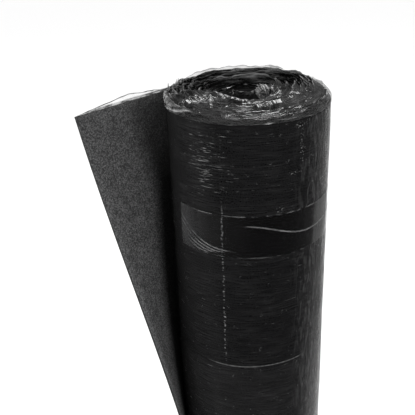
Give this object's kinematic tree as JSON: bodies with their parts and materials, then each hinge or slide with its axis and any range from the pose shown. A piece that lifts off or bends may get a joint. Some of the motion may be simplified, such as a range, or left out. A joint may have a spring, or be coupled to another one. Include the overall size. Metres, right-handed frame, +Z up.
{
  "type": "roll of roofing felt",
  "caption": "Full roll of bituminous roofing felt standing on its end, with a pulled-open loose end, a backing film margin along the top and a clear packing tape.",
  "frame": {"origin": "centre of the bore in the bottom end, on the floor that the roll stands on", "axes": "+Z up along the roll's axis; -Y faces the viewer; the loose end leaves the roll at the back and left, towards -X and -Y"},
  "size_m": [0.262, 0.1742, 1.01],
  "materials": {
    "bitumen_felt": "black bitumen sheet with a glossy film on its outer face and dark mineral grit on its inner face",
    "backing_film": "thin wrinkled see-through film",
    "clear_tape": "clear glossy packing tape over black"
  },
  "bodies": {
    "root": {"felt_roll": "bitumen_felt", "backing_film": "backing_film", "packing_tape": "clear_tape"}
  },
  "joints": []
}
